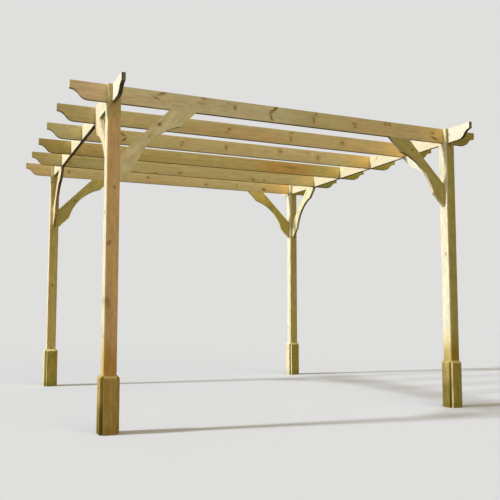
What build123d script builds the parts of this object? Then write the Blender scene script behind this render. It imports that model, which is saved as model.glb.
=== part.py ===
from build123d import *
from math import sqrt
import os

# Free-standing garden pergola of planed softwood, in millimetres.
# X runs along the rafters, Y along the side beams with the front at -Y, and Z is up.
# The origin is on the ground, in the middle between the four posts.

# Frame
post_spacing_x = 2940  # from post centre to post centre, along the rafters
post_spacing_y = 2940  # from post centre to post centre, along the beams
frame_height = 2400  # ground to the tops of the posts, beams and rafters
post_width = 90

# Roof boards, which stand on edge: the beams and the rafters have one section
board_depth = 125
board_thickness = 29
rafter_count = 6
rafter_overhang = 305  # from post centre to the end of the rafter
beam_overhang = 305  # from post centre to the end of the beam

# Halving joints between beams and rafters, and the slots in the post heads
rafter_notch_depth = 62  # cut upward into the rafter, the rest of the depth is cut into the beam
fit_gap = 0.3  # on each side of a board in a slot or notch

# Shaped ends of the boards: an upright nose, then a cove that turns into a round
nose_height = 56
ogee_length = 131

# Braces, sawn from a board that lies at 45 degrees
brace_reach = 565  # from the corner to each tip, along the post and along the board above
brace_board_width = 140
brace_thickness = 29
brace_end_flat = 165  # straight part of the outer edge at each tip
brace_hollow = 63  # depth of the arc in the outer edge

# Skirt of four boards round each foot
skirt_height = 390
skirt_thickness = 22
skirt_top_flat = 4  # what the chamfer leaves of the top edge

# Places that follow from the sizes above
board_underside = frame_height - board_depth
slot_width = board_thickness + 2 * fit_gap
post_columns = {"left": -post_spacing_x / 2, "right": post_spacing_x / 2}
post_rows = {"front": -post_spacing_y / 2, "back": post_spacing_y / 2}
rafter_pitch = post_spacing_y / (rafter_count - 1)
rafter_rows = [post_rows["front"] + rafter_pitch * i for i in range(rafter_count)]
post_faces = {"front": (0, -1, 0), "back": (0, 1, 0), "left": (-1, 0, 0), "right": (1, 0, 0)}


def upright_plane(origin, along):
    """Vertical plane through origin: its x runs along the given level direction and its y is up."""
    along = Vector(*along)
    return Plane(origin=origin, x_dir=along, z_dir=along.cross(Vector(0, 0, 1)))


def save(piece, name):
    """Label a finished piece and write it as its own file."""
    piece.part.label = name
    export_step(piece.part, f"parts/{name}.step")


def roof_board(plane, half_length, notch_places, notch_depth, notched_from_above):
    """Board on edge with shaped ends: the plane's origin is at mid length on the top edge."""
    nose_corner = (half_length, -nose_height)
    ogee_middle = (half_length - ogee_length / 2, -(nose_height + board_depth) / 2)
    ogee_foot = (half_length - ogee_length, -board_depth)
    notch_edge = 0 if notched_from_above else -board_depth
    notch_align = Align.MAX if notched_from_above else Align.MIN
    with BuildPart() as board:
        with BuildSketch(plane):
            with BuildLine():
                Polyline((0, 0), (half_length, 0), nose_corner)
                TangentArc(nose_corner, ogee_middle, tangent=(-1, 0))
                TangentArc(ogee_foot, ogee_middle, tangent=(1, 0))
                Line(ogee_foot, (0, -board_depth))
                mirror(about=Plane.YZ)
            make_face()
        extrude(amount=board_thickness / 2, both=True)
        with BuildSketch(plane):
            with Locations(*[(place, notch_edge) for place in notch_places]):
                Rectangle(slot_width, notch_depth, align=(Align.CENTER, notch_align))
        extrude(amount=board_thickness, both=True, mode=Mode.SUBTRACT)
    return board


def rafter(y):
    """Rafter that drops over both beams: its notches are open below."""
    plane = upright_plane((0, y, frame_height), (1, 0, 0))
    half_length = post_spacing_x / 2 + rafter_overhang
    return roof_board(plane, half_length, post_columns.values(), rafter_notch_depth, False)


def beam(x):
    """Side beam that carries every rafter: its notches are open above."""
    plane = upright_plane((x, 0, frame_height), (0, 1, 0))
    half_length = post_spacing_y / 2 + beam_overhang
    return roof_board(plane, half_length, rafter_rows, board_depth - rafter_notch_depth, True)


def post(x, y):
    """Square post whose head is slotted crosswise, for the beam and the rafter, into four prongs."""
    with BuildPart() as solid:
        with BuildSketch(Plane((x, y, 0))):
            Rectangle(post_width, post_width)
        extrude(amount=frame_height)
        with BuildSketch(Plane((x, y, frame_height))):
            Rectangle(post_width, slot_width)
            Rectangle(slot_width, post_width)
        extrude(amount=-board_depth, mode=Mode.SUBTRACT)
    return solid


def brace(x, y, inward):
    """Brace in the corner between a post and the board above: inward points away from the post."""
    inward = Vector(*inward)
    corner = Vector(x, y, board_underside) + inward * (post_width / 2)
    inner_reach = brace_reach - brace_board_width * sqrt(2)
    flat_run = brace_end_flat / sqrt(2)
    upper_hollow_end = (brace_reach - flat_run, -flat_run)
    lower_hollow_end = (flat_run, flat_run - brace_reach)
    with BuildPart() as solid:
        with BuildSketch(upright_plane(corner, inward)):
            with BuildLine():
                Polyline(upper_hollow_end, (brace_reach, 0), (inner_reach, 0))
                Polyline((inner_reach, 0), (0, -inner_reach))
                Polyline((0, -inner_reach), (0, -brace_reach), lower_hollow_end)
                SagittaArc(lower_hollow_end, upper_hollow_end, brace_hollow)
            make_face()
        extrude(amount=brace_thickness / 2, both=True)
    return solid


def skirt_board(x, y, outward):
    """Skirt board on one face of a post, as wide as the post, with its outer top edge chamfered."""
    outward = Vector(*outward)
    foot = Vector(x, y, 0) + outward * (post_width / 2)
    face_plane = upright_plane(foot, Vector(0, 0, 1).cross(outward))
    with BuildPart() as board:
        with BuildSketch(face_plane):
            Rectangle(post_width, skirt_height, align=(Align.CENTER, Align.MIN))
        extrude(amount=skirt_thickness)
        top_face = board.faces().sort_by(Axis.Z)[-1]
        outer_edge = top_face.edges().sort_by(Axis(foot, outward))[-1]
        chamfer(outer_edge, length=skirt_thickness - skirt_top_flat)
    return board


os.makedirs("parts", exist_ok=True)

for column, x in post_columns.items():
    save(beam(x), f"{column}_beam")

for number, y in enumerate(rafter_rows, start=1):
    save(rafter(y), f"rafter_{number}")

for row, y in post_rows.items():
    for column, x in post_columns.items():
        inward_x = (-x / abs(x), 0, 0)
        inward_y = (0, -y / abs(y), 0)
        save(post(x, y), f"{row}_{column}_post")
        save(brace(x, y, inward_x), f"{row}_{column}_rafter_brace")
        save(brace(x, y, inward_y), f"{row}_{column}_beam_brace")
        for side, outward in post_faces.items():
            save(skirt_board(x, y, outward), f"{row}_{column}_skirt_{side}")
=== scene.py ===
# %% [markdown]
# A garden pergola of planed softwood stands on four square posts. Two side beams and six rafters,
# all boards on edge, are halved into each other and into slots in the post heads. Curved braces
# stiffen each corner, and a skirt of four short boards boxes in each foot. The solids come ready
# made from the CAD frame, so this lesson is about making them look like timber: easing their
# edges, giving each board its own piece of a log, and driving in the screws.

# %% Load the frame
import random
from collections import namedtuple
from math import cos, pi, radians, sin

import bmesh
import bpy
from mathutils import Matrix, Vector


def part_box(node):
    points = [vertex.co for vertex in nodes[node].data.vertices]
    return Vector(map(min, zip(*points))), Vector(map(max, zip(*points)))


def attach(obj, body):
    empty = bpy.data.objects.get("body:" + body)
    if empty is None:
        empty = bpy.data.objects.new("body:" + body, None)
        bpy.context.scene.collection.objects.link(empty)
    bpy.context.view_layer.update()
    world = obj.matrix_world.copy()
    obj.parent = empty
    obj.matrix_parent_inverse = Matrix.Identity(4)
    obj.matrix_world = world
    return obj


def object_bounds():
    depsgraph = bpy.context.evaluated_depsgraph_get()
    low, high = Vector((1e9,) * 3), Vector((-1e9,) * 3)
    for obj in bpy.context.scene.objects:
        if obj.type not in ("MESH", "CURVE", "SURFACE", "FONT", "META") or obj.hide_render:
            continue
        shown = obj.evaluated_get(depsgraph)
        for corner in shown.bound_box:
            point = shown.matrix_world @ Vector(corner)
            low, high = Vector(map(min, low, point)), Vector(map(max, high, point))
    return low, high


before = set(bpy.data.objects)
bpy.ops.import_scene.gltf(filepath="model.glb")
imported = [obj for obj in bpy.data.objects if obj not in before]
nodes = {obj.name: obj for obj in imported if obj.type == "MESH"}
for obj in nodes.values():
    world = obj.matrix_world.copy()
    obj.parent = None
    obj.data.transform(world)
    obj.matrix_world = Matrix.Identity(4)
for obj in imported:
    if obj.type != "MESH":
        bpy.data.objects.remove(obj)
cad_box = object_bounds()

scene = bpy.context.scene
overall = cad_box[1] - cad_box[0]
print(len(nodes), "timbers, overall", [round(side, 3) for side in overall], "m")

# %% [markdown]
# The camera stands off the front left corner, at the height of a seated person, and looks slightly
# up into the roof. Its place and its lens were worked out from the edges of the timbers, so a board
# in the render falls where the same board falls in the photograph. An aim by eye would be quicker,
# but the roof's perspective shows an error of a few centimetres at once.

# %% Camera
camera_place = Vector((-2.452, -6.044, 0.863))
turned_right = 0.4181  # radians, from looking straight to the back
tilted_up = 0.0823
focal_length = 48.0  # millimetres, on Blender's 36 mm sensor

camera = bpy.data.objects.new("camera", bpy.data.cameras.new("camera"))
camera.data.lens = focal_length
camera.location = camera_place
camera.rotation_euler = (pi / 2 + tilted_up, 0, -turned_right)
scene.collection.objects.link(camera)
scene.camera = camera
scene.view_settings.view_transform = "Standard"
print("camera", [round(place, 3) for place in camera.location], "lens", camera.data.lens, "mm")

# %% [markdown]
# A finish on real timber is never one number, so every material here is a small calculation. The
# class below wraps one socket of a shader node and lets Python's own signs add the Math nodes:
# 1 - mask is then as short as it reads. A recipe is the node tree of one material, and its method
# node() makes any other node, with its settings set before its sockets are filled.


# %% Shader maths
class Value:
    """One output socket of a recipe. Signs between values add Math nodes."""

    def __init__(self, recipe, socket):
        self.recipe = recipe
        self.socket = socket

    def math(self, operation, *others):
        values = dict(enumerate((self, *others)))
        return self.recipe.node("ShaderNodeMath", {"operation": operation}, values)

    def __add__(self, other):
        return self.math("ADD", other)

    def __sub__(self, other):
        return self.math("SUBTRACT", other)

    def __rsub__(self, other):
        return self.recipe.node("ShaderNodeMath", {"operation": "SUBTRACT"}, {0: other, 1: self})

    def __mul__(self, other):
        return self.math("MULTIPLY", other)

    def __truediv__(self, other):
        return self.math("DIVIDE", other)

    def __abs__(self):
        return self.math("ABSOLUTE")

    __radd__, __rmul__ = __add__, __mul__


class Recipe:
    """The node tree of one material or of the world."""

    def __init__(self, tree):
        tree.nodes.clear()
        self.tree = tree

    def node(self, kind, settings=None, sockets=None, output=0):
        made = self.tree.nodes.new(kind)
        for name, setting in (settings or {}).items():
            if name == "stops":
                fill_ramp(made.color_ramp, setting)
            else:
                setattr(made, name, setting)
        for key, given in (sockets or {}).items():
            if isinstance(given, Value):
                self.tree.links.new(given.socket, made.inputs[key])
            else:
                made.inputs[key].default_value = given
        return Value(self, made.outputs[output]) if made.outputs else None

    def vector(self, operation, *vectors, output=0):
        return self.node("ShaderNodeVectorMath", {"operation": operation}, dict(enumerate(vectors)), output)

    def point(self):
        return self.node("ShaderNodeTexCoord", {}, {}, "Object")

    def facing(self, axis):
        """How squarely the surface looks along an axis, from -1 to 1."""
        normal = self.node("ShaderNodeNewGeometry", {}, {}, "Normal")
        return self.vector("DOT_PRODUCT", normal, axis, output="Value")

    def parts(self, vector):
        return [self.node("ShaderNodeSeparateXYZ", {}, {0: vector}, axis) for axis in range(3)]

    def mix(self, share, first, second, blend="MIX"):
        settings = {"data_type": "RGBA", "blend_type": blend}
        return self.node("ShaderNodeMix", settings, {0: share, 6: first, 7: second}, 2)

    def shade(self, body, tone):
        """A colour made lighter or darker by a value."""
        return self.node("ShaderNodeVectorMath", {"operation": "SCALE"}, {0: body, "Scale": tone})

    def noise(self, place, scale, detail=2.0, output=0):
        stretched = self.vector("MULTIPLY", place, scale)
        sockets = {"Vector": stretched, "Scale": 1.0, "Detail": detail, "Roughness": 0.5}
        return self.node("ShaderNodeTexNoise", {}, sockets, output)

    def relief(self, height, depth, strength):
        """Bumps in the surface, for its Normal."""
        return self.node("ShaderNodeBump", {}, {"Strength": strength, "Distance": depth, "Height": height})

    def between(self, value, start, end, low=0.0, high=1.0):
        """Smooth step of a value, from low at start to high at end."""
        sockets = {0: value, 1: start, 2: end, 3: low, 4: high}
        return self.node("ShaderNodeMapRange", {"interpolation_type": "SMOOTHSTEP"}, sockets)


def fill_ramp(ramp, stops):
    while len(ramp.elements) < len(stops):
        ramp.elements.new(1.0)
    for element, (position, level) in zip(ramp.elements, stops):
        element.position = position
        element.color = (level, level, level, 1)


def new_material(name):
    material = bpy.data.materials.new(name)
    material.use_nodes = True
    return material, Recipe(material.node_tree)


def colour(red, green, blue):
    """A colour as seen on a screen, 0 to 255, as the linear colour that nodes take."""
    linear = []
    for part in (red, green, blue):
        share = part / 255
        linear.append(share / 12.92 if share <= 0.04045 else ((share + 0.055) / 1.055) ** 2.4)
    return (*linear, 1.0)


print("shader maths ready, mid grey is", round(colour(128, 128, 128)[0], 3))

# %% [markdown]
# The pergola stands on a plain pale floor that runs out into a plain pale background. A floor this
# large and pale would throw more light up under the roof than a real one ever gets, so the floor is
# pale only to the camera: Light Path tells the shader which rays come from there, and all other
# rays meet a darker floor. Far out it fades into the background's own tone.

# %% Floor and background
backdrop_tone = (0.74, 0.74, 0.73, 1)
pale_paint = (0.645, 0.691, 0.788, 1)
dark_paint = (0.020, 0.016, 0.008, 1)
floor_radius = 60.0
floor_drop = 0.001  # just below the feet
fade_start, fade_end = 5.0, 20.0  # metres from the middle


def seen_directly(recipe):
    """1 on rays from the camera, a mirror or glass, 0 on rays that light the object."""
    path = recipe.tree.nodes.new("ShaderNodeLightPath")
    camera_ray, glossy, glass = (Value(recipe, path.outputs[name]) for name in (
        "Is Camera Ray", "Is Glossy Ray", "Is Transmission Ray"))
    return camera_ray.math("MAXIMUM", glossy.math("MAXIMUM", glass))


floor_material, recipe = new_material("studio_floor")
distance = recipe.vector("LENGTH", recipe.point(), output="Value")
far = recipe.between(distance, fade_start, fade_end)
near_floor = recipe.node("ShaderNodeBsdfDiffuse", {}, {"Color": pale_paint})
far_floor = recipe.node("ShaderNodeEmission", {}, {"Color": backdrop_tone, "Strength": 1.0})
pale_floor = recipe.node("ShaderNodeMixShader", {}, {0: far, 1: near_floor, 2: far_floor})
dark_floor = recipe.node("ShaderNodeBsdfDiffuse", {}, {"Color": dark_paint})
shown = recipe.node("ShaderNodeMixShader", {}, {0: seen_directly(recipe), 1: dark_floor, 2: pale_floor})
recipe.node("ShaderNodeOutputMaterial", {}, {"Surface": shown})

floor_mesh = bpy.data.meshes.new("studio_floor")
disc = bmesh.new()
bmesh.ops.create_circle(disc, cap_ends=True, radius=floor_radius, segments=96)
disc.to_mesh(floor_mesh)
disc.free()
floor = bpy.data.objects.new("studio_floor", floor_mesh)
floor.location.z = -floor_drop
floor_mesh.materials.append(floor_material)
scene.collection.objects.link(floor)
print("floor of", floor_radius, "m radius, faded from", fade_start, "to", fade_end, "m")

# %% [markdown]
# In the photograph the light comes from the left and a little from behind: left faces are cream,
# front faces are in warm even shade, undersides are dark, and the hollow edges of the braces catch
# light from low down. Plain soft sources repeat that: a white key lamp at the left, a wide one
# low down beneath it, a weaker warm one from the front, and a warm sky all round. A sun lamp
# lights the whole frame evenly, where a softbox near it would fade along the roof.

# %% Lamps and sky
key_level = 1.00  # 1 lights a surface that faces the lamp just enough to show its own colour
low_level = 0.36
front_level = 0.35
sky_level = 0.35
warm_white = (1.0, 0.84, 0.56)


def soft_lamp(name, level, tone, azimuth, height, width):
    """Sun lamp: azimuth in degrees to the left of straight ahead, height and width in degrees."""
    lamp = bpy.data.lights.new(name, "SUN")
    lamp.energy = level * pi
    lamp.color = tone
    lamp.angle = radians(width)
    holder = bpy.data.objects.new(name, lamp)
    turn, rise = radians(azimuth), radians(height)
    towards = Vector((-sin(turn) * cos(rise), cos(turn) * cos(rise), sin(rise)))
    holder.rotation_euler = towards.to_track_quat("Z", "Y").to_euler()
    scene.collection.objects.link(holder)


soft_lamp("key_from_left", key_level, (1.0, 1.0, 1.0), 81, 35, 5)
soft_lamp("low_from_left", low_level, (1.0, 1.0, 1.0), 88, 9, 40)
soft_lamp("fill_from_front", front_level, warm_white, 192, 28, 60)

sky = bpy.data.worlds.new("soft_sky")
sky.use_nodes = True
scene.world = sky
recipe = Recipe(sky.node_tree)
fill = recipe.node("ShaderNodeBackground", {}, {"Color": (*warm_white, 1), "Strength": sky_level})
backdrop = recipe.node("ShaderNodeBackground", {}, {"Color": backdrop_tone, "Strength": 1.0})
whole_sky = recipe.node("ShaderNodeMixShader", {}, {0: seen_directly(recipe), 1: fill, 2: backdrop})
recipe.node("ShaderNodeOutputWorld", {}, {"Surface": whole_sky})
print("lamps", [lamp.name for lamp in bpy.data.lights], "and sky at", sky_level)

# %% [markdown]
# Each timber is cut from its own log, so each one gets its own material. All of them follow the
# same idea: the wood is solid, not a picture on the faces. A point's place is measured along,
# across and through the board, and the growth rings are tubes round the heart of the log, which
# lies beside a board but inside a post. Grain, arches and end grain then agree on every face by
# themselves.


# %% One timber and its character
class Timber:
    """One board or post: where it lies, which way its grain runs, and what its log gave it."""

    def __init__(self, name, along, across, seed):
        low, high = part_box(name)
        self.name = name
        self.centre = (low + high) / 2
        self.along = Vector(along).normalized()
        self.across = Vector(across).normalized()
        self.through = self.along.cross(self.across)
        chance = self.chance = random.Random(seed)
        self.heart = (chance.uniform(-0.035, 0.035), chance.choice((-1, 1)) * chance.uniform(0.035, 0.085))
        self.knots = []
        self.figure, self.streaky, self.mottled = 1.0, 1.0, 0.5  # strength of rings, streaks and mottling
        self.green, self.resin = 0.35, 0.30  # strength of the slow patches
        self.tint = (1, 1, 1, 1)
        self.heartwood_shade = None  # tint near the heart
        # Some of these changes are painted light or shade, such as the rafters' bright ends and the beams'
        # pale fronts.
        self.changes = []  # (tint, start, end, slant) of each change along the timber
        # Painted shade: an olive tint on the front face over a stretch of the timber.
        self.front_shade = None  # (tint, start, end) of a film on the front face
        # On some braces and skirt boards the edge tint paints light or shade on the narrow sides.
        self.edge_tint = None  # tint of the narrow sides, where it differs
        # On the front rafter and on three skirt boards the end tint is a painted highlight.
        self.end_tint = None  # further tint of the cut ends
        self.end_tone = 0.98  # how light the cut ends are
        # A damp foot that also carries painted shade of grass.
        self.damp_shaded_foot = False

    def extent(self, axis):
        """Length of the timber's box along one of its own axes."""
        low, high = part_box(self.name)
        return sum(abs(part) * side for part, side in zip(axis, high - low))

    def place(self, recipe, shift):
        """The point as (along, across, through) in metres from the centre, and as a place in its log."""
        from_centre = recipe.vector("SUBTRACT", recipe.point(), self.centre)
        axes = [recipe.vector("DOT_PRODUCT", from_centre, axis, output="Value")
                for axis in (self.along, self.across, self.through)]
        own = recipe.node("ShaderNodeCombineXYZ", {}, dict(enumerate(axes)))
        return own, recipe.vector("ADD", own, (shift, shift / 7, shift / 3))


print("rafter_1 is", round(Timber("rafter_1", (1, 0, 0), (0, 0, 1), 0).extent((1, 0, 0)), 3), "m long")

# %% [markdown]
# A knot is the root of a branch that ran out from the heart, so it goes right through a thin board
# and shows on both faces. Sawn straight across it is round, and sawn at a slant it is a long wing.
# A Mapping node moves, turns and stretches the board's face so that the knot becomes a circle of
# radius 1, and the Length of that vector is the distance from it. Minimum keeps the nearest knot
# and Maximum the strongest mark. The faces are shaken a little first, so no knot is a clean oval.

# %% Knots
shake_scale = (45, 75, 75)  # noise scales are waves per metre along, across and through
shaken_by = Vector((0.018, 0.012, 0.012))
no_knot = (0, 0.3, 0.01, 0.01, 0, 0.0, "broad")  # beside the board and without strength


def knots_near(recipe, own, grown, knots):
    """(distance from the nearest knot in its own radii, how strongly a knot marks the wood here)."""
    shake = recipe.noise(grown, shake_scale, 2.0, output=1)
    moved = recipe.vector("MULTIPLY_ADD", shake, shaken_by, shaken_by * -0.5)
    along, across, through = recipe.parts(recipe.vector("ADD", own, moved))
    faces = {"broad": recipe.node("ShaderNodeCombineXYZ", {}, {0: along, 1: across}),
             "edge": recipe.node("ShaderNodeCombineXYZ", {}, {0: along, 1: through})}
    nearest, mark = 9.0, 0.0  # far off and unmarked
    for where, sideways, long_half, short_half, tilt, strength, face in knots:
        circle = recipe.node("ShaderNodeMapping", {"vector_type": "TEXTURE"}, {
            "Vector": faces[face], "Location": (where, sideways, 0),
            "Rotation": (0, 0, radians(tilt)), "Scale": (long_half, short_half, 1)})
        radii = recipe.vector("LENGTH", circle, output="Value")
        nearest = radii.math("MINIMUM", nearest)
        mark = recipe.between(radii, 0.45, 1.25, strength, 0.0).math("MAXIMUM", mark)
    return nearest, mark


def chance_knots(timber, faces=("broad",), spacing=0.42, strongest=0.8):
    """Knots at random places, one for about each spacing of the timber's length."""
    chance = timber.chance
    length = timber.extent(timber.along)
    width = timber.extent(timber.across)
    knots = []
    for step in range(max(1, round(length / spacing))):
        where = -length / 2 + spacing * (step + chance.uniform(0.15, 0.85))
        sideways = chance.uniform(-0.42, 0.42) * width
        short_half = chance.uniform(0.005, 0.011)
        long_half = short_half * chance.choice((1.2, 1.3, 1.5, 2.6))
        tilt = chance.uniform(-15, 15) if long_half < 2 * short_half else chance.choice((-40, 40))
        strength = chance.uniform(0.45, 1) * strongest
        face = faces[step % len(faces)]
        knots.append((where, sideways, long_half, short_half, tilt, strength, face))
    return knots


# %% [markdown]
# Softwood shows its years as pale early wood that darkens into a thin line of late wood and then
# starts again. A ramp on the fraction of the ring gives that tooth. The heart of the log wanders a
# little along the board, so a noise that changes slowly along the grain moves it, and the flat face
# then shows the long arches of a board sawn off the side of a log. Round a knot the rings bend,
# which is a hill added to the distance from the heart.

# %% Growth rings
wander_scale = (0.9, 0.9, 0.9)
heart_wanders = Vector((0, 0.030, 0.024))  # metres across and through the board
ripple_scale = (2.2, 26, 26)
rings_ripple = 0.0045
rings_bend = 0.014  # round a knot
ring_tone = [(0.0, 0.25), (0.10, 0.0), (0.50, 0.10), (0.82, 0.75), (0.95, 1.0), (1.0, 0.25)]


def growth_rings(recipe, timber, own, grown, nearest):
    """(how much late wood there is, from 0 to 1, and the distance from the heart)."""
    chance = timber.chance
    ring_width = chance.uniform(0.0032, 0.0048)
    lean = Vector((0, chance.uniform(-0.012, 0.012), chance.uniform(-0.010, 0.010)))
    wander = recipe.noise(grown, wander_scale, 1.0, output=1)
    moved = recipe.vector("MULTIPLY_ADD", wander, heart_wanders, heart_wanders * -0.5)
    lengthwise = recipe.vector("DOT_PRODUCT", own, (1, 0, 0), output="Value")
    leaning = recipe.shade(lean, lengthwise)
    sideways = recipe.vector("MULTIPLY_ADD", own, (0, 1, 1), Vector((0, *timber.heart)) * -1)
    from_heart = recipe.vector("ADD", recipe.vector("ADD", sideways, moved), leaning)
    radius = recipe.vector("LENGTH", from_heart, output="Value")
    ripple = recipe.noise(grown, ripple_scale, 2.0)
    hill = (nearest * nearest * -0.16).math("EXPONENT")
    years = (radius + rings_ripple * ripple + rings_bend * hill) / ring_width
    late = recipe.node("ShaderNodeValToRGB", {"stops": ring_tone}, {0: years.math("FRACT")})
    year = years.math("FLOOR")
    strength = recipe.node("ShaderNodeTexWhiteNoise", {"noise_dimensions": "1D"}, {"W": year})
    return late * (0.45 + 0.55 * strength), radius


print("growth rings drawn as tubes round a wandering heart")

# %% [markdown]
# The colour starts from pale treated softwood. Late wood makes it browner, slow patches make parts
# of a board greener from the treatment or more orange from resin, and fine streaks of fibre run
# along it. A post also has heartwood: near the heart of the log it is darker and browner, so a face
# cut far from the heart is pale and the next one is not; on the posts the two are set so far apart
# that they are painted shade on the front faces and painted light on the left ones. Some boards
# change along their length as well, some of these changes being painted light or shade, and the
# front face of a tail may carry painted shade, an olive tint. These three multiply the colour, so
# the grain stays visible through them.

# %% Colour of clear wood
early_wood = colour(228, 216, 180)
late_wood = colour(190, 160, 110)
green_wood = colour(198, 200, 155)
resin_wood = colour(216, 177, 122)
heart_radius, sap_radius = 0.054, 0.068  # metres from the heart of the log
patch_scale, mottle_scale = (0.55, 5, 5), (11, 32, 32)
streak_scale, fibre_scale = (1.6, 110, 110), (9, 900, 900)
ring_contrast, streak_contrast, fibre_contrast = 0.58, 0.28, 0.12
patch_contrast, mottle_contrast = 0.12, 0.30


def clear_wood(recipe, timber, own, grown, late, radius):
    """(colour of the wood without knots, lengthwise streaks, fine fibre)."""
    body = recipe.mix(ring_contrast * timber.figure * late, early_wood, late_wood)
    first, second, third = recipe.parts(recipe.noise(grown, patch_scale, 2.0, output=1))
    body = recipe.mix(recipe.between(first, 0.42, 0.66) * timber.green, body, green_wood)
    body = recipe.mix(recipe.between(second, 0.46, 0.70) * timber.resin, body, resin_wood)
    # On the posts this heartwood tint is also painted shade on the front faces.
    if timber.heartwood_shade:
        inside = recipe.between(radius, heart_radius, sap_radius, 1.0, 0.0)
        body = recipe.mix(inside, body, timber.heartwood_shade, "MULTIPLY")
    along, across = recipe.parts(own)[:2]
    for reached, start, end, slant in timber.changes:
        share = recipe.between(along + slant * across + 0.06 * (third - 0.5), start, end)
        body = recipe.mix(share, body, reached, "MULTIPLY")
    # Painted shade: the front face of a stretch is tinted olive, as if it lay in shade.
    if timber.front_shade:
        shade_film, start, end = timber.front_shade
        share = recipe.between(along, start, end) * recipe.between(recipe.facing(timber.through), 0.3, 0.8)
        body = recipe.mix(share, body, shade_film, "MULTIPLY")
    streaks = recipe.noise(grown, streak_scale, 3.0)
    fibre = recipe.noise(grown, fibre_scale, 1.0)
    mottle = recipe.noise(grown, mottle_scale, 3.0)
    tone = 1 + streak_contrast * timber.streaky * (streaks - 0.5) + fibre_contrast * (fibre - 0.5)
    tone = tone + patch_contrast * (third - 0.5) + mottle_contrast * timber.mottled * (mottle - 0.5)
    return recipe.shade(body, tone), streaks, fibre


print("early wood", [round(part, 3) for part in early_wood[:3]])

# %% [markdown]
# A knot is red-brown, with faint rings of its own, a darker rim of bark where the branch died, and
# a warm halo where resin soaked the wood beside it. Short brown flecks of resin and fine drying
# checks lie along the grain. Each is a mask times a colour, laid over the clear wood in that order.

# %% Knots, flecks and checks
knot_brown = colour(133, 107, 64)
knot_rim = colour(95, 74, 42)
knot_halo = colour(190, 156, 106)
check_brown = colour(92, 70, 48)
fleck_scale, check_scale, dryness_scale = (13, 210, 210), (1.3, 42, 42), (1.9, 9, 9)


def marked_wood(recipe, body, grown, nearest, mark):
    """(colour with knots, flecks and checks, how deep a check is)."""
    halo = recipe.between(nearest, 1.0, 3.0, 0.62, 0.0)
    body = recipe.mix(halo * recipe.between(mark + 0.4, 0.0, 1.0), body, knot_halo)
    rings = (nearest * 4.2).math("FRACT")
    knot = recipe.mix(recipe.between(nearest, 0.74, 0.98) * 0.8 + 0.18 * rings, knot_brown, knot_rim)
    body = recipe.mix(mark, body, knot)
    fleck = recipe.between(recipe.noise(grown, fleck_scale, 1.0), 0.70, 0.77, 0.0, 0.45)
    body = recipe.mix(fleck, body, knot_brown)
    drift = abs(recipe.noise(grown, check_scale, 1.0) - 0.5)
    dry_here = recipe.between(recipe.noise(grown, dryness_scale, 1.0), 0.66, 0.74)
    check = recipe.between(drift, 0.003, 0.011, 1.0, 0.0) * dry_here
    return recipe.mix(0.4 * check, body, check_brown), check


print("knots", [round(part, 3) for part in knot_brown[:3]], "with a darker rim")

# %% [markdown]
# Use leaves its marks where hands and weather reach. Cut ends drink more treatment and are darker,
# which the angle between surface and grain tells. The long eased edges are bruised here and there,
# which the distance from the board's own corners tells. The feet are darker and greener up to an
# uneven top, partly a damp tide mark and partly painted shade and green reflection of grass.

# %% Ends, edges and feet
edge_band = 0.004
damp_shade_height = 0.10
bruise_scale, tide_scale = (16, 55, 55), (9, 30, 30)


def wear(recipe, timber, own, grown):
    """(how far this is end grain, bruised edge and damp, shaded foot), each from 0 to 1."""
    cut_end = recipe.between(abs(recipe.facing(timber.along)), 0.20, 0.60)
    across, through = recipe.parts(own)[1:]
    half_width = timber.extent(timber.across) / 2
    half_thickness = timber.extent(timber.through) / 2
    past_width = abs(across) - (half_width - edge_band)
    past_thickness = abs(through) - (half_thickness - edge_band)
    at_edge = recipe.between(past_width.math("MINIMUM", past_thickness), 0.0, edge_band)
    bruised = at_edge * recipe.between(recipe.noise(grown, bruise_scale, 2.0), 0.48, 0.62)
    if not timber.damp_shaded_foot:
        return cut_end, bruised, None
    height = recipe.parts(recipe.point())[2]
    tide = height + damp_shade_height * (recipe.noise(grown, tide_scale, 2.0) - 0.5)
    return cut_end, bruised, recipe.between(tide, 0.0, damp_shade_height, 1.0, 0.0)


print("eased edges are marked over", edge_band * 1000, "mm")

# %% [markdown]
# Planed softwood is matt. Its late wood stands a hair proud because it is harder, fibre leaves fine
# lengthwise lines, a check is a tiny groove, and a knot shines a little more than the wood round
# it. The same values that colour the wood therefore drive a Bump node and the roughness, so the
# relief fits the grain. The board's own tint comes last, and another one on its sawn edges or its
# cut ends, which on some boards is painted light or painted shade.

# %% Wood finish
# The foot's tint is partly damp and partly painted shade and green reflection of grass.
damp_shade_tint = (0.70, 0.72, 0.58, 1)
relief_depth, relief_strength = 0.0006, 0.5
pore_scale = (900, 900, 900)


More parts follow.
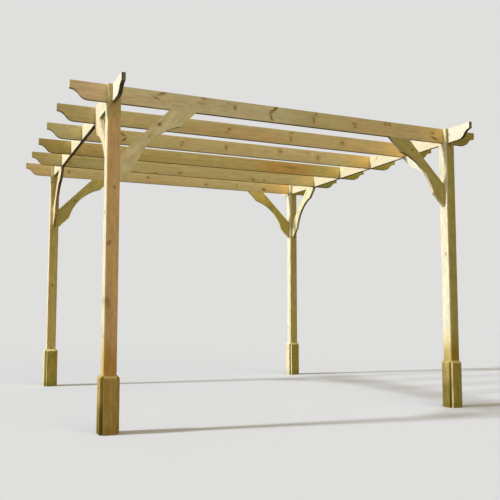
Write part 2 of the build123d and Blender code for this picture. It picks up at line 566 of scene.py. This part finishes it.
def wood(timber):
    """The material of one timber."""
    material, recipe = new_material(timber.name + "_wood")
    own, grown = timber.place(recipe, timber.chance.uniform(3, 60))
    nearest, mark = knots_near(recipe, own, grown, timber.knots)
    late, radius = growth_rings(recipe, timber, own, grown, nearest)
    body, streaks, fibre = clear_wood(recipe, timber, own, grown, late, radius)
    body, check = marked_wood(recipe, body, grown, nearest, mark)
    cut_end, bruised, damp_shade = wear(recipe, timber, own, grown)
    coat = timber.tint
    if timber.edge_tint:
        sawn_edge = recipe.between(abs(recipe.facing(timber.through)), 0.3, 0.8, 1.0, 0.0)
        coat = recipe.mix(sawn_edge, timber.tint, timber.edge_tint)
    body = recipe.mix(1.0, body, coat, "MULTIPLY")
    if timber.end_tint:
        body = recipe.mix(cut_end, body, timber.end_tint, "MULTIPLY")
    if damp_shade:
        body = recipe.mix(0.8 * damp_shade, body, recipe.mix(1.0, body, damp_shade_tint, "MULTIPLY"))
    body = recipe.shade(body, 1 - (1 - timber.end_tone) * cut_end - 0.14 * bruised)
    roughness = 0.72 + 0.14 * fibre - 0.10 * late - 0.14 * mark + 0.10 * cut_end
    raised = 0.5 * late + 0.6 * fibre + 0.5 * streaks + 0.8 * mark
    pores = recipe.noise(own, pore_scale, 1.0)
    height = raised - 1.6 * check - 0.8 * bruised + cut_end * pores
    surface = recipe.node("ShaderNodeBsdfPrincipled", {}, {
        "Base Color": body, "Roughness": roughness, "Specular IOR Level": 0.03,
        "Normal": recipe.relief(height, relief_depth, relief_strength)})
    recipe.node("ShaderNodeOutputMaterial", {}, {"Surface": surface})
    return material


print("wood finish ready, a damp foot is tinted", damp_shade_tint[:3])

# %% [markdown]
# A sharp edge never survives planing: every board has its edges eased by 1.5 to 3 mm, and that
# thin round is what catches the light. The solids arrive with separate corners for each face,
# so a Weld joins them first, and a Bevel with an angle limit then rounds only true edges and leaves
# the facets of the curved ends alone.

# %% Eased edges
eased_edge = 0.0025
same_corner = 1e-5  # metres between corners that are welded
facet_angle = radians(35)  # facets of a curve meet at less than this


def finish_timber(timber, easing=eased_edge):
    """Eased edges and its own wood on a solid from the frame."""
    solid = nodes[timber.name]
    weld = solid.modifiers.new("weld", "WELD")
    weld.merge_threshold = same_corner
    ease = solid.modifiers.new("eased edges", "BEVEL")
    ease.width = easing
    ease.segments = 2
    ease.limit_method = "ANGLE"
    ease.angle_limit = facet_angle
    solid.data.materials.clear()
    solid.data.materials.append(wood(timber))


print("edges eased by", eased_edge * 1000, "mm")

# %% [markdown]
# The roof boards carry the look of the pergola, so their knots were read off the photograph board
# by board: the front rafter has a winged pair beside the post and a red-brown swirl near its middle,
# the third one a pair like an arrowhead. The front posts and the front left brace have a few as
# well. A short function keeps each knot on one readable line.

# %% Knots that the photograph shows
seen_knots = {}


def knot(timber, where, sideways, long_half, short_half, tilt, strength, face="broad"):
    """A knot, in metres along a timber and sideways from its middle, with its tilt in degrees."""
    place = (where, sideways, long_half, short_half, tilt, strength, face)
    seen_knots.setdefault(timber, []).append(place)


knot("rafter_1", -1.12, 0.048, 0.030, 0.009, 27, 0.58)
knot("rafter_1", -1.16, 0.009, 0.026, 0.007, -21, 0.40)
knot("rafter_1", -0.80, 0.051, 0.020, 0.007, -2, 0.38)
knot("rafter_1", -0.82, 0.012, 0.026, 0.008, 0, 0.22)
knot("rafter_1", -0.55, 0.012, 0.013, 0.019, 0, 0.52)
knot("rafter_1", -0.21, 0.047, 0.035, 0.010, 41, 0.80)
knot("rafter_1", -0.24, 0.019, 0.030, 0.013, 35, 0.55)
knot("rafter_1", -0.25, -0.014, 0.026, 0.008, -65, 0.62)
knot("rafter_1", -0.24, -0.040, 0.014, 0.009, -51, 0.72)
knot("rafter_1", 0.15, 0.045, 0.011, 0.013, 0, 0.30)
knot("rafter_1", 0.13, -0.004, 0.011, 0.029, 0, 0.42)
knot("rafter_1", 0.51, 0.008, 0.022, 0.008, 0, 0.50)
knot("rafter_1", 0.52, -0.018, 0.013, 0.011, 0, 0.52)
knot("rafter_1", 0.82, 0.038, 0.011, 0.013, 0, 0.42)
knot("rafter_1", 0.86, 0.042, 0.013, 0.013, 0, 0.42)
knot("rafter_1", 1.31, 0.015, 0.024, 0.011, -3, 0.52)
knot("rafter_1", 1.33, -0.029, 0.041, 0.011, -20, 0.66)
knot("rafter_2", -0.36, 0.011, 0.016, 0.013, 0, 0.62)
knot("rafter_2", -0.38, -0.016, 0.014, 0.010, 0, 0.22)
knot("rafter_2", 0.24, 0.044, 0.018, 0.008, 0, 0.58)
knot("rafter_2", 0.23, -0.013, 0.010, 0.022, 0, 0.50)
knot("rafter_2", 0.76, 0.003, 0.022, 0.018, 0, 0.42)
knot("rafter_3", -1.13, 0.024, 0.030, 0.011, -30, 0.68)
knot("rafter_3", -1.12, -0.020, 0.028, 0.011, 40, 0.68)
knot("rafter_3", -0.58, 0.010, 0.014, 0.009, 0, 0.46)
knot("rafter_3", -0.59, -0.017, 0.015, 0.009, 0, 0.42)
knot("rafter_3", -0.15, 0.005, 0.013, 0.024, 0, 0.56)
knot("rafter_3", 0.42, 0.018, 0.022, 0.017, 0, 0.42)
knot("rafter_3", 0.84, -0.005, 0.021, 0.027, 0, 0.30)
knot("rafter_4", 0.83, 0.008, 0.082, 0.011, 0, 0.30)
knot("rafter_5", -1.40, -0.018, 0.018, 0.008, 0, 0.40)
knot("rafter_5", -0.50, -0.053, 0.021, 0.009, 0, 0.38)
knot("rafter_5", -0.22, -0.030, 0.015, 0.010, 0, 0.52)
knot("rafter_5", 0.66, -0.035, 0.017, 0.016, 0, 0.52)
knot("rafter_5", 0.80, -0.036, 0.013, 0.011, 0, 0.40)
knot("rafter_6", -1.32, 0.003, 0.016, 0.015, 0, 0.52)
knot("rafter_6", -0.42, 0.007, 0.017, 0.013, 0, 0.84)
knot("rafter_6", 0.30, -0.022, 0.016, 0.011, 0, 0.68)
knot("rafter_6", 0.70, -0.003, 0.013, 0.011, 0, 0.28)
knot("rafter_6", 1.07, -0.030, 0.023, 0.016, 0, 0.78)
knot("front_left_post", 0.476, 0.008, 0.013, 0.011, 0, 0.50)
knot("front_left_post", 0.087, -0.022, 0.024, 0.014, 40, 0.58)
knot("front_left_post", -0.32, -0.025, 0.046, 0.023, -12, 0.42)
knot("front_left_post", -0.303, -0.032, 0.020, 0.012, 20, 0.60)
knot("front_left_post", 0.30, 0.010, 0.014, 0.010, 0, 0.50, "edge")
knot("front_left_post", -0.55, -0.012, 0.013, 0.010, 0, 0.45, "edge")
knot("front_right_post", 0.105, -0.016, 0.011, 0.008, 25, 0.75, "edge")
knot("front_right_post", 0.52, 0.012, 0.012, 0.009, 0, 0.40)
knot("front_right_post", -0.28, -0.015, 0.014, 0.010, 0, 0.45)
knot("front_left_rafter_brace", 0.120, 0.113, 0.015, 0.012, 0, 0.85)
knot("front_left_rafter_brace", 0.002, 0.093, 0.020, 0.009, 20, 0.22)
print(sum(len(knots) for knots in seen_knots.values()), "knots read off the photograph")

# %% [markdown]
# Boards differ in tone as they do in a stack at the yard. The fourth rafter turns rusty towards its
# right end and most of the others orange, and the left tails are darker. Every rafter's right end is
# paler and warmer, painted bounce light, and the front faces of the right tails carry olive painted
# shade. The front rafter's own ends are nearly white, a painted highlight. The beams are the palest
# of all, with a painted highlight at the front, but their cut ends drank the treatment and are dark
# brown.

# %% Roof boards
rafter_tints = {
    "rafter_1": (0.91, 0.91, 0.83, 1), "rafter_2": (1.06, 1.03, 0.94, 1),
    "rafter_3": (1.07, 1.08, 0.98, 1), "rafter_4": (0.92, 0.91, 0.66, 1),
    "rafter_5": (0.98, 1.01, 0.85, 1), "rafter_6": (1.12, 1.10, 1.00, 1),
}
grey_half = (1.18, 1.28, 1.62, 1)
orange_end = (1.00, 0.92, 0.76, 1)
pale_end = (1.08, 1.08, 1.06, 1)
# Painted light: every rafter's right end is paler and warmer, standing in for light bounced off the right
# beam.
painted_bounce_end = (1.20, 1.13, 0.96, 1)
rust = (1.00, 0.80, 0.60, 1)
past_rust = (1.00, 1.24, 1.60, 1)
dark_tail = (0.70, 0.72, 0.66, 1)
grey_tail = (0.84, 0.87, 0.84, 1)
tan_tail = (0.95, 0.84, 0.79, 1)
# Painted shade for the front faces of the right tails.
shaded_tail = (0.42, 0.50, 0.34, 1)
pale_shaded_tail = (0.56, 0.69, 0.46, 1)
# Painted highlight: the front ends of the beams are paler and bluer.
painted_highlight_front = (1.03, 1.08, 1.22, 1)
# Painted highlight: the front rafter's cut ends are made nearly white.
painted_highlight_end = (1.12, 1.26, 1.50, 1)
tail_start, tail_end = 1.485, 1.50  # just past the right beam
rafter_changes = {
    "rafter_1": [(grey_half, 0.10, -0.30, 0), (orange_end, 1.15, 1.45, 0), (tan_tail, -1.40, -1.60, 0)],
    "rafter_2": [(orange_end, 0.35, 1.50, 0), (dark_tail, -1.44, -1.58, 0)],
    "rafter_3": [(pale_end, 0.60, 1.00, 0), (orange_end, 1.00, 1.40, 0), (grey_tail, -1.44, -1.58, 0)],
    "rafter_4": [(rust, 0.30, 0.65, 0), (past_rust, 1.00, 1.22, 0), (dark_tail, -1.44, -1.58, 0)],
    "rafter_5": [(grey_tail, -0.60, -1.40, 0)],
    "rafter_6": [(orange_end, 0.90, 1.30, 0), (tan_tail, -1.30, -1.58, 0)],
}

for number in range(1, 7):
    timber = Timber(f"rafter_{number}", (1, 0, 0), (0, 0, 1), 100 + number)
    timber.knots = seen_knots[timber.name]
    timber.tint = rafter_tints[timber.name]
    timber.changes = rafter_changes[timber.name] + [(painted_bounce_end, 1.10, 1.40, 0)]
    timber.front_shade = (pale_shaded_tail if number in (3, 4) else shaded_tail, tail_start, tail_end)
    timber.mottled = 1.3
    timber.end_tone = 0.98 if number in (1, 6) else 0.50
    timber.end_tint = painted_highlight_end if number == 1 else None
    finish_timber(timber)
    print(timber.name, "with", len(timber.knots), "knots")

for column in ("left", "right"):
    timber = Timber(f"{column}_beam", (0, 1, 0), (0, 0, 1), 120 + len(column))
    timber.knots = chance_knots(timber, strongest=0.35)
    timber.tint = (1.03, 1.07, 1.16, 1)
    timber.figure, timber.green, timber.resin = 0.7, 0.15, 0.12
    timber.changes = [(painted_highlight_front, -1.44, -1.54, 0)]
    timber.end_tone = 0.24
    finish_timber(timber)
    print(timber.name, "with", len(timber.knots), "knots")

# %% [markdown]
# A post is nearly the whole of a small log, so knots run out of all four faces. The heart lies
# towards the front right corner, so the front face is browner heartwood and the left one pale
# sapwood. The two tints are set far apart, so they are painted shade on the front faces and painted
# light on the left faces. The front left post is pinker than the others and its head is olive, down
# to a slanting line. The two front posts are darker and browner just above their skirts.

# %% Posts
corners = [(row, column) for row in ("front", "back") for column in ("left", "right")]
# Painted light: every post is paled, so its left faces, far from the heart, look lit.
painted_light_sapwood = (1.06, 1.13, 1.26, 1)
painted_light_white_sapwood = (1.11, 1.21, 1.40, 1)
# Painted shade: the heart tints darken the front faces, which lie near the heart.
painted_shade_heart_tints = {
    "front_left": (0.86, 0.65, 0.49, 1), "front_right": (0.515, 0.505, 0.255, 1),
    "back_left": (0.83, 0.75, 0.43, 1), "back_right": (0.64, 0.56, 0.295, 1),
}
olive_head = (0.81, 0.92, 0.80, 1)
# Darker and browner just above the front posts' skirts.
brown_above_skirt = (0.83, 0.70, 0.40, 1)
browned = (0.93, 0.90, 0.82, 1)
band_above_skirt = (brown_above_skirt, -0.50, -0.78, 0.3)
post_changes = {
    "front_left": [band_above_skirt, (olive_head, 0.955, 0.985, -0.60), (browned, -0.05, -0.55, 0)],
    "front_right": [band_above_skirt, (browned, -0.58, -0.80, 0)],
}
post_easing = 0.003

for index, (row, column) in enumerate(corners):
    corner = f"{row}_{column}"
    post = Timber(f"{corner}_post", (0, 0, 1), (1, 0, 0), 200 + index)
    post.heart = (post.chance.uniform(0.018, 0.026), post.chance.uniform(-0.036, -0.026))
    post.knots = seen_knots.get(post.name) or chance_knots(post, ("broad", "edge"), spacing=0.48)
    post.tint = painted_light_white_sapwood if corner == "back_right" else painted_light_sapwood
    post.heartwood_shade = painted_shade_heart_tints[corner]
    post.figure, post.streaky, post.mottled = 0.35, 0.9, 2.0
    post.green, post.resin, post.end_tone = 0.15, 0.20, 0.85
    post.changes = post_changes.get(corner, [])
    post.damp_shaded_foot = True
    finish_timber(post, post_easing)
    print(post.name, "with", len(post.knots), "knots")

# %% [markdown]
# The braces are sawn from a board that lies at 45 degrees, so their grain runs at 45 degrees too,
# along the straight back of the brace. They took the treatment unevenly and are mottled: the front
# left one is grey-green, the ones under the rafters at the right are olive and tan, and those under
# the beams are pale, the two at the right paler still as painted light. Sawn edges are paler than
# faces, apart from one that is browner, and the narrow sides of the two rafter braces at the right
# are cream, a painted highlight. The tan brace pales towards its top.

# %% Braces
pale_top = (1.36, 1.34, 1.50, 1)
pale_edge = (1.04, 1.06, 1.08, 1)
# Painted highlight on the narrow sides of the right rafter braces.
painted_highlight_edge = (1.16, 1.20, 1.18, 1)
brown_edge = (1.00, 0.94, 0.70, 1)
olive_brace = (0.59, 0.60, 0.36, 1)
tan_brace = (0.83, 0.80, 0.35, 1)
brace_tints = {
    "front_left_rafter_brace": (1.03, 1.09, 1.11, 1), "front_right_rafter_brace": olive_brace,
    "back_right_rafter_brace": tan_brace, "back_left_rafter_brace": (1.00, 1.03, 0.60, 1),
    # Painted light: the two right beam braces are paler and whiter.
    "front_right_beam_brace": (1.08, 1.20, 1.45, 1), "back_right_beam_brace": (1.09, 1.17, 1.16, 1),
}
brace_edges = {
    "back_left_beam_brace": brown_edge,
    "front_right_rafter_brace": painted_highlight_edge, "back_right_rafter_brace": painted_highlight_edge,
}
brace_changes = {"back_right_rafter_brace": [(pale_top, 0.02, 0.24, 0)]}


def inward(row, column):
    """The kinds of brace at a post, each with the level direction away from the post."""
    return {"rafter_brace": Vector((1 if column == "left" else -1, 0, 0)),
            "beam_brace": Vector((0, 1 if row == "front" else -1, 0))}


up, down = Vector((0, 0, 1)), Vector((0, 0, -1))
for index, (row, column) in enumerate(corners):
    for kind, away in inward(row, column).items():
        brace = Timber(f"{row}_{column}_{kind}", away + up, up - away, 220 + 2 * index + len(kind))
        where, sideways = brace.chance.uniform(-0.2, 0.2), brace.chance.uniform(0.075, 0.125)
        chance_knot = (where, sideways, 0.012, 0.010, 0, 0.5, "broad")
        brace.knots = seen_knots.get(brace.name, [chance_knot])
        brace.tint = brace_tints.get(brace.name, brace.tint)
        brace.edge_tint = brace_edges.get(brace.name, pale_edge)
        brace.changes = brace_changes.get(brace.name, [])
        brace.figure, brace.streaky, brace.mottled = 0.25, 0.4, 2.4
        brace.green, brace.resin = 0.70 if brace.name == "front_left_rafter_brace" else 0.25, 0.12
        finish_timber(brace)
    print(row, column, "braces")

# %% [markdown]
# The skirt boards stand upright like the post behind them. They are thinner stock and browner than
# the posts. The left boards, which face the key lamp, are paler as painted light: those at the back
# as pale as a beam, the front right one warmer. The left boards of the front feet carry a painted
# shadow towards the bottom. The sawn edges of the front boards are paler, painted light, those of the
# left boards and of the front left foot darker, painted shade, and the chamfered tops of three front
# boards carry a painted highlight.

# %% Skirts
skirt_tints = {
    "front_left": (0.59, 0.51, 0.27, 1), "front_right": (0.465, 0.485, 0.21, 1),
    "back_left": (0.58, 0.61, 0.26, 1), "back_right": (0.50, 0.54, 0.21, 1),
}
# Painted light: the left boards, which face the lamp, are paler.
painted_light_skirts = {
    "back_right_skirt_left": (1.08, 1.12, 1.15, 1), "back_left_skirt_left": (1.08, 1.14, 0.86, 1),
    "front_right_skirt_left": (0.86, 0.81, 0.48, 1),
}
# Painted light on the front boards' edges, painted shade on the left boards' edges and at the front left
# foot.
painted_light_and_shade_edges = {
    "front_left_skirt_front": (0.28, 0.24, 0.09, 1), "front_left_skirt_left": (0.52, 0.46, 0.21, 1),
    "back_right_skirt_left": (0.60, 0.62, 0.41, 1), "front_right_skirt_left": (0.56, 0.50, 0.22, 1),
    "front_right_skirt_front": (1.15, 1.18, 0.82, 1), "back_left_skirt_front": (1.08, 1.14, 0.95, 1),
    "back_left_skirt_left": (0.60, 0.62, 0.27, 1), "back_right_skirt_front": (1.10, 1.15, 1.00, 1),
}
# Painted highlight on the cut ends and chamfered tops of three front boards.
painted_highlight_tops = {
    "front_right_skirt_front": (1.08, 1.17, 1.45, 1), "back_left_skirt_front": (1.75, 1.90, 3.50, 1),
    "back_right_skirt_front": (1.36, 1.30, 1.75, 1),
}
# Painted shadow over the lower part of the front feet's left boards.
painted_shadow_low = (0.46, 0.44, 0.30, 1)
painted_shadow_skirts = ("front_right_skirt_left", "front_left_skirt_left")
skirt_height = 0.39
skirt_easing = 0.0015
faces_of_post = {"front": (0, -1, 0), "back": (0, 1, 0), "left": (-1, 0, 0), "right": (1, 0, 0)}

for index, (row, column) in enumerate(corners):
    for turn, (side, outward) in enumerate(faces_of_post.items()):
        across = (1, 0, 0) if side in ("front", "back") else (0, 1, 0)
        board = Timber(f"{row}_{column}_skirt_{side}", (0, 0, 1), across, 300 + 10 * index + turn)
        board.knots = chance_knots(board, spacing=skirt_height) if turn % 2 else [no_knot]
        board.tint = painted_light_skirts.get(board.name, skirt_tints[f"{row}_{column}"])
        board.edge_tint = painted_light_and_shade_edges.get(board.name)
        board.end_tint = painted_highlight_tops.get(board.name)
        board.changes = [(painted_shadow_low, 0.07, -0.08, 0)] if board.name in painted_shadow_skirts else []
        board.mottled = 1.8 if board.name in painted_shadow_skirts else 2.6
        board.streaky = 2.2 if board.name == "front_right_skirt_left" else 1.5
        board.figure, board.green, board.resin = 0.8, 0.20, 0.30
        board.damp_shaded_foot = True
        finish_timber(board, skirt_easing)
    print(row, column, "skirt")

# %% [markdown]
# Screws hold the timbers, two in each skirt board, one in each tip of a brace, two in each face of
# a post head and one from the top in each inner crossing. A head is turned from a short profile,
# which is how a lathe or a header makes it, and a cross-shaped pocket is let into its flat top. A
# list of screws comes first, so that the drill and the screw always agree about the place.

# %% One screw head
head_radius = 0.0042
flat_radius = 0.94 * head_radius  # the rest of the top is its rounded rim
rim_depth = 0.0003
head_depth = 0.0026
shank_radius = 0.0021
head_sunk = 0.0005  # countersunk heads sit just below the wood
pocket_mouth = (0.0020, 0.00055, 0)  # length and half width of an arm, and height
pocket_bottom = (0.0012, 0.0004, -0.0015)


def ring(mesh, radius, height, corners=20):
    """A level circle of corners round the Z axis."""
    turns = [2 * pi * step / corners for step in range(corners)]
    return [mesh.verts.new((radius * cos(turn), radius * sin(turn), height)) for turn in turns]


def wall(mesh, upper, lower):
    """Faces between two rings with equally many corners."""
    for step in range(len(upper)):
        mesh.faces.new((upper[step - 1], lower[step - 1], lower[step], upper[step]))


def turned(mesh, profile):
    """Walls turned round the Z axis through (radius, height) steps from the top down, and the floor."""
    rings = [ring(mesh, *step) for step in profile]
    for upper, lower in zip(rings, rings[1:]):
        wall(mesh, upper, lower)
    mesh.faces.new(rings[-1][::-1])
    return rings[0]


def cross(mesh, arm, half_width, height):
    """The twelve corners of a level cross."""
    corners = []
    for quarter in range(4):
        for x, y in ((arm, -half_width), (arm, half_width), (half_width, half_width)):
            for _ in range(quarter):
                x, y = -y, x
            corners.append(mesh.verts.new((x, y, height)))
    return corners


head = bmesh.new()
turned(head, [(flat_radius, 0), (head_radius, -rim_depth), (shank_radius, -head_depth)])
pocket = cross(head, *pocket_mouth)
pocket_floor = cross(head, *pocket_bottom)
wall(head, pocket_floor, pocket)
head.faces.new(pocket_floor)
rims = [edge for edge in head.edges if edge.is_boundary]
bmesh.ops.triangle_fill(head, use_beauty=True, use_dissolve=False, edges=rims)
bmesh.ops.recalc_face_normals(head, faces=head.faces)
screw_head = bpy.data.meshes.new("screw_head")
head.to_mesh(screw_head)
print("screw head", 2000 * head_radius, "mm wide with", len(head.faces), "faces")
head.free()

# %% [markdown]
# Each screw is kept as the timber it enters, the group it is sold to, the seat on the surface and
# how deep it sits. The seat is a matrix whose Z axis points out of the wood. A brace is screwed
# square to the post and to the board above, so its holes enter the slanting tip at 45 degrees and
# are bored wide enough to swallow the head.

# %% Places of the screws
prong_middle = 0.030  # from the post's centre line to the middle of a prong
tip_inset = 0.058  # from the tip of a brace to its screw, along the post or the board
bored_deep = 0.011
rafter_screws_drop, beam_screws_drop = 0.040, 0.085  # from the top of a post down to its screws
skirt_screw_heights = (0.075, 0.300)
Screw = namedtuple("Screw", "timber group seat sunk bored")
screws = []


def screw(timber, group, place, outward, sunk=head_sunk, bored=False):
    turn = outward.to_track_quat("Z", "Y").to_matrix().to_4x4()
    screws.append(Screw(timber, group, Matrix.Translation(place) @ turn, sunk, bored))


def centre_and_half(name):
    low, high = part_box(name)
    return (low + high) / 2, (high - low) / 2


for row, column in corners:
    corner = f"{row}_{column}"
    post_centre, post_half = centre_and_half(f"{corner}_post")
    for side, direction in faces_of_post.items():
        outward = Vector(direction)
        sideways = outward.cross(up)
        height = cad_box[1].z - (rafter_screws_drop if outward.y else beam_screws_drop)
        on_face = Vector((post_centre.x, post_centre.y, height)) + post_half.x * outward
        for prong in (-prong_middle, prong_middle):
            screw(f"{corner}_post", corner, on_face + prong * sideways, outward)
        board = f"{corner}_skirt_{side}"
        board_centre, board_half = centre_and_half(board)
        board_face = board_centre + abs(board_half.dot(outward)) * outward
        for height in skirt_screw_heights:
            place = Vector((board_face.x, board_face.y, height))
            screw(board, corner, place, outward)
    for kind, away in inward(row, column).items():
        middle, half = centre_and_half(f"{corner}_{kind}")
        into_post = middle + (tip_inset - half.z) * (away + up)
        into_board = middle + (half.z - tip_inset) * (away + up)
        screw(f"{corner}_{kind}", corner, into_post, away, bored_deep, True)
        screw(f"{corner}_{kind}", corner, into_board, down, bored_deep, True)

for number in range(2, 6):
    rafter_middle = centre_and_half(f"rafter_{number}")[0]
    for column in ("left", "right"):
        beam_middle = centre_and_half(f"{column}_beam")[0]
        screw(f"rafter_{number}", "roof", Vector((beam_middle.x, rafter_middle.y, cad_box[1].z)), up)
print(len(screws), "screws")

# %% [markdown]
# A Boolean modifier drills the holes: the timber's own mesh stays as it came, and the drill is a
# hidden solid with the shape of the hole. It comes after the Bevel, because a drilled hole keeps a
# sharp edge. All the holes of one timber are one drill, so each timber needs only one modifier.

# %% Drill the holes
bored_radius, bored_reach = 0.0062, 0.030  # the reach lies outside the wood
sink_radius, sink_reach = head_radius + 0.0015, 0.0008
screw_play = 0.0001


def add_copy(mesh, seat, before):
    """Move what was added to a mesh since it had that many corners to a seat."""
    mesh.verts.ensure_lookup_table()
    bmesh.ops.transform(mesh, matrix=seat, verts=mesh.verts[before:])


def hole_profile(sunk, bored):
    """(radius, height) steps of a hole, from outside the wood down to the tip of the head."""
    mouth = [(bored_radius, bored_reach), (bored_radius, -sunk)] if bored else [(sink_radius, sink_reach)]
    seat = (head_radius + 2 * screw_play, -sunk - screw_play)
    tip = (shank_radius + screw_play, -sunk - head_depth - screw_play)
    return mouth + [seat, tip]


screwed = sorted({one.timber for one in screws})
for name in screwed:
    drill = bmesh.new()
    for one in screws:
        if one.timber == name:
            before = len(drill.verts)
            drill.faces.new(turned(drill, hole_profile(one.sunk, one.bored)))
            add_copy(drill, one.seat, before)
    drill_mesh = bpy.data.meshes.new(name + "_drill")
    drill.to_mesh(drill_mesh)
    drill.free()
    cutter = bpy.data.objects.new(name + "_drill", drill_mesh)
    cutter.hide_render = True
    cutter.display_type = "WIRE"
    scene.collection.objects.link(cutter)
    bore = nodes[name].modifiers.new("screw holes", "BOOLEAN")
    bore.operation = "DIFFERENCE"
    bore.solver = "EXACT"
    bore.object = cutter
print(len(screwed), "timbers drilled")

# %% [markdown]
# Zinc plating is a grey metal with soft clouds from the bath and, out of doors, small whitish spots
# where it has started to bloom. The spots are rougher than the clean metal, so one mask drives the
# colour and the roughness together.

# %% Zinc finish
zinc_dark = colour(112, 108, 98)
zinc_light = colour(152, 147, 134)
zinc_bloom = colour(176, 172, 160)
cloud_scale, bloom_scale = (380, 380, 380), (1300, 1300, 1300)

zinc, recipe = new_material("zinc_plated_steel")
cloud = recipe.noise(recipe.point(), cloud_scale, 3.0)
bloom = recipe.between(recipe.noise(recipe.point(), bloom_scale, 2.0), 0.56, 0.70)
plated = recipe.mix(0.6 * bloom, recipe.mix(cloud, zinc_dark, zinc_light), zinc_bloom)
roughness = 0.26 + 0.20 * cloud + 0.25 * bloom
surface = recipe.node("ShaderNodeBsdfPrincipled", {}, {
    "Base Color": plated, "Metallic": 1.0, "Roughness": roughness,
    "Normal": recipe.relief(cloud + bloom, depth=0.0001, strength=0.4)})
recipe.node("ShaderNodeOutputMaterial", {}, {"Surface": surface})
print("zinc finish ready")

# %% [markdown]
# The heads of one corner form one piece, as they come from one bag. No two stop at the same turn,
# so each head is spun by its own angle before it goes into its seat.

# %% Drive the screws
hand = random.Random(12)
for group in [f"{row}_{column}" for row, column in corners] + ["roof"]:
    heads = bmesh.new()
    for one in screws:
        if one.group == group:
            before = len(heads.verts)
            heads.from_mesh(screw_head)
            spin = Matrix.Rotation(hand.uniform(0, pi / 2), 4, "Z")
            add_copy(heads, one.seat @ Matrix.Translation((0, 0, -one.sunk)) @ spin, before)
    group_mesh = bpy.data.meshes.new(group + "_screws")
    heads.to_mesh(group_mesh)
    print(group, "screws with", len(heads.faces), "faces")
    heads.free()
    group_mesh.materials.append(zinc)
    piece = bpy.data.objects.new(group + "_screws", group_mesh)
    scene.collection.objects.link(piece)
    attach(piece, "root")
